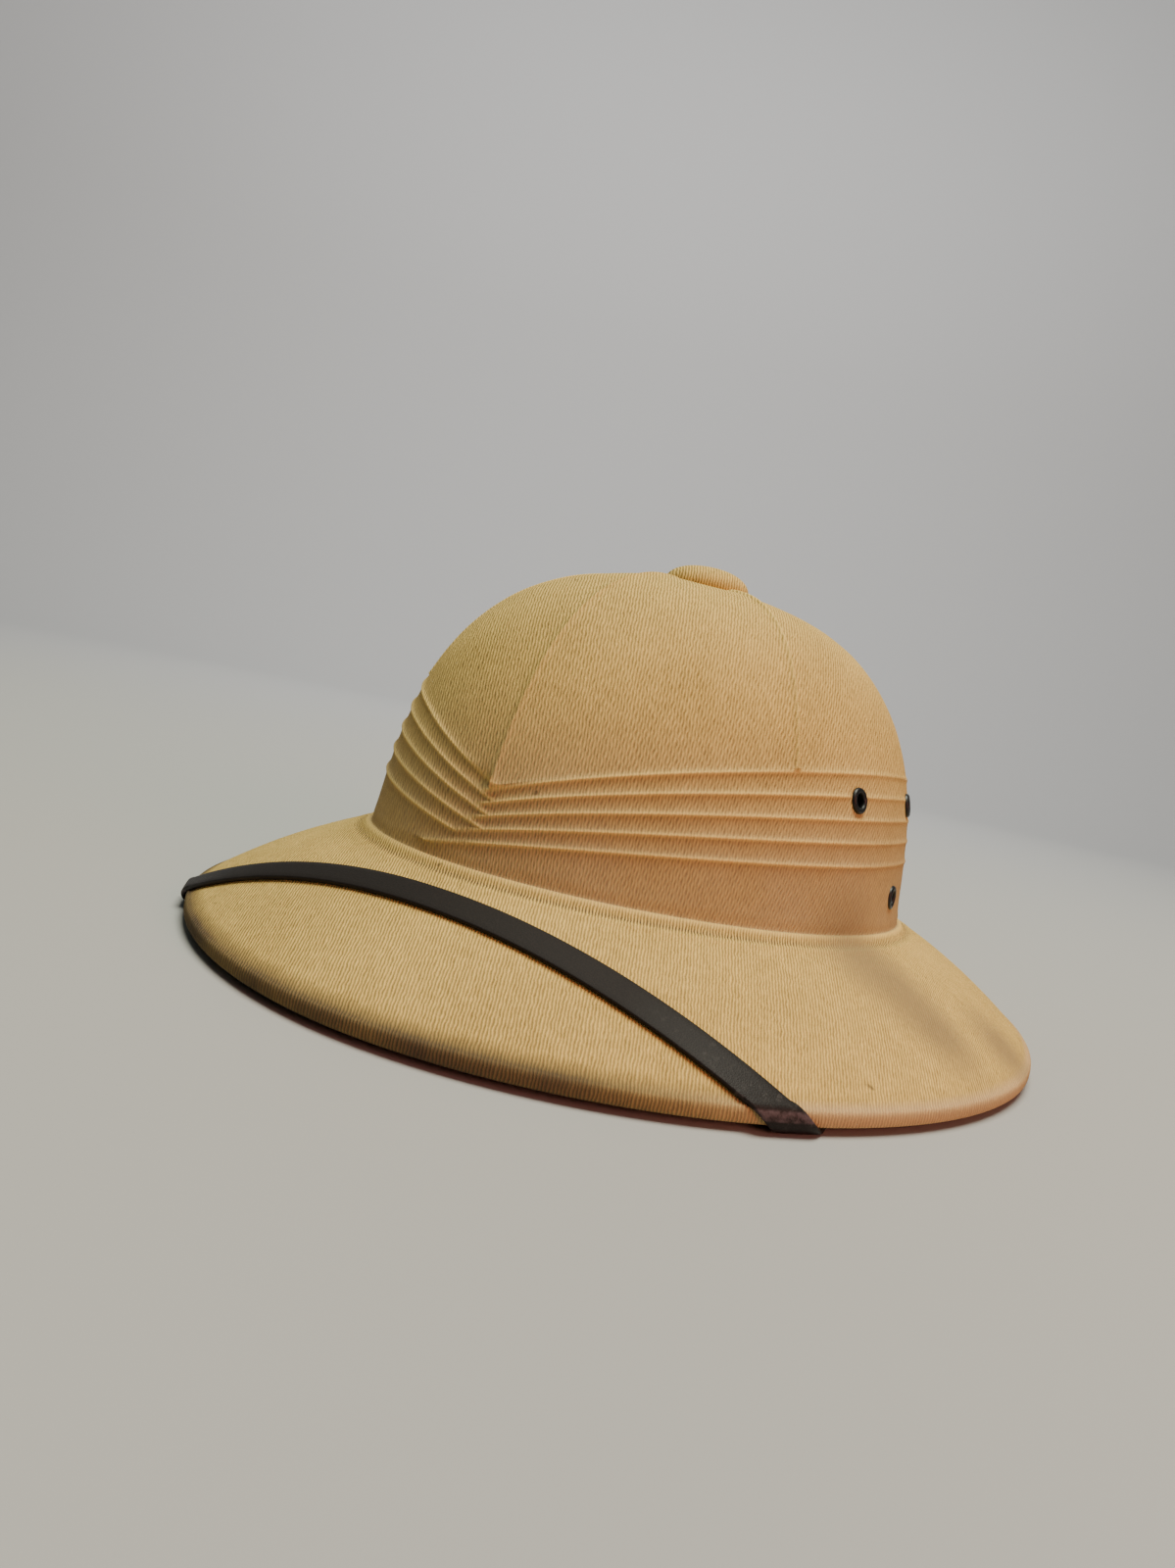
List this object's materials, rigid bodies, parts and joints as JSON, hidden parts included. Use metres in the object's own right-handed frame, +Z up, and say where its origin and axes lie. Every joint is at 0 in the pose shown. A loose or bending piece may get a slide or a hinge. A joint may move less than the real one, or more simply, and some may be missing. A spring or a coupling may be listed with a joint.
{
  "type": "pith helmet",
  "caption": "Tan twill-covered pressed fibre sun helmet with pleat ribs, covered top button, black vent eyelets and a black leather chin strap over the front brim.",
  "frame": {"origin": "centre of the hat's plan, on the surface it rests on", "axes": "+Z up through the crown, -Y towards the front of the hat, +X towards the wearer's left"},
  "size_m": [0.2824, 0.33, 0.1439],
  "materials": {
    "twill": "matt",
    "black_leather": "satin",
    "black_enamel": "gloss"
  },
  "bodies": {
    "root": {"shell": "twill", "top_button": "twill", "chin_strap": "black_leather", "vent_eyelet_left_front": "black_enamel", "vent_eyelet_left_back": "black_enamel", "vent_eyelet_right_front": "black_enamel", "vent_eyelet_right_back": "black_enamel", "strap_eyelet_left": "black_enamel", "strap_eyelet_right": "black_enamel"}
  },
  "joints": []
}
